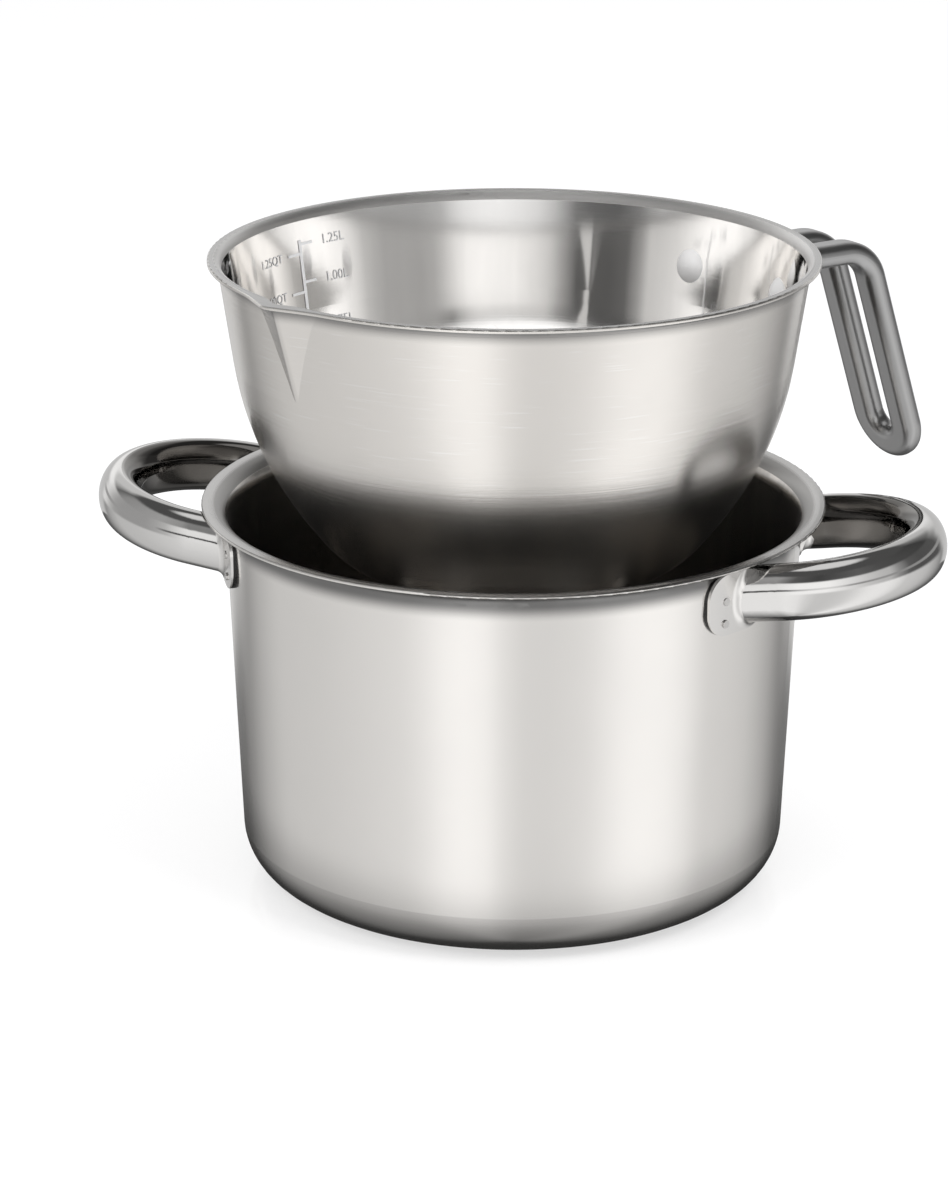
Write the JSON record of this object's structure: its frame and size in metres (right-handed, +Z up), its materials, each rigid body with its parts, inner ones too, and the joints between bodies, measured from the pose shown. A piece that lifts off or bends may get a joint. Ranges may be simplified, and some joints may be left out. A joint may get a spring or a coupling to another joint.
{
  "type": "double boiler",
  "caption": "Steel double boiler: a pot with loop handles and a lift-out bowl with a pouring spout and a long loop handle.",
  "frame": {"origin": "centre of the pot's base, on the floor", "axes": "+Z up; +X along the line of the pot's two handles, towards the one at the right of the picture; +Y away from the viewer"},
  "size_m": [0.2482, 0.2032, 0.1817],
  "materials": {
    "pot_steel": "satin",
    "bowl_steel": "brushed",
    "polished_steel": "polished",
    "foot_steel": "satin",
    "handle_steel": "satin",
    "rivet_steel": "satin"
  },
  "bodies": {
    "pot": {"pot_shell": "pot_steel", "right_handle_tube": "polished_steel", "left_handle_tube": "polished_steel", "right_front_foot": "foot_steel", "right_back_foot": "foot_steel", "left_front_foot": "foot_steel", "left_back_foot": "foot_steel", "spot_welds": "foot_steel"},
    "bowl": {"bowl_shell": "bowl_steel", "bowl_handle": "handle_steel", "bowl_handle_bracket": "handle_steel", "bowl_rivets": "rivet_steel"}
  },
  "joints": [
    {"name": "bowl_lift", "type": "slide", "parent": "pot", "child": "bowl", "axis": [0, 0, 1], "range_m": [-0.0427, 0.06]}
  ]
}
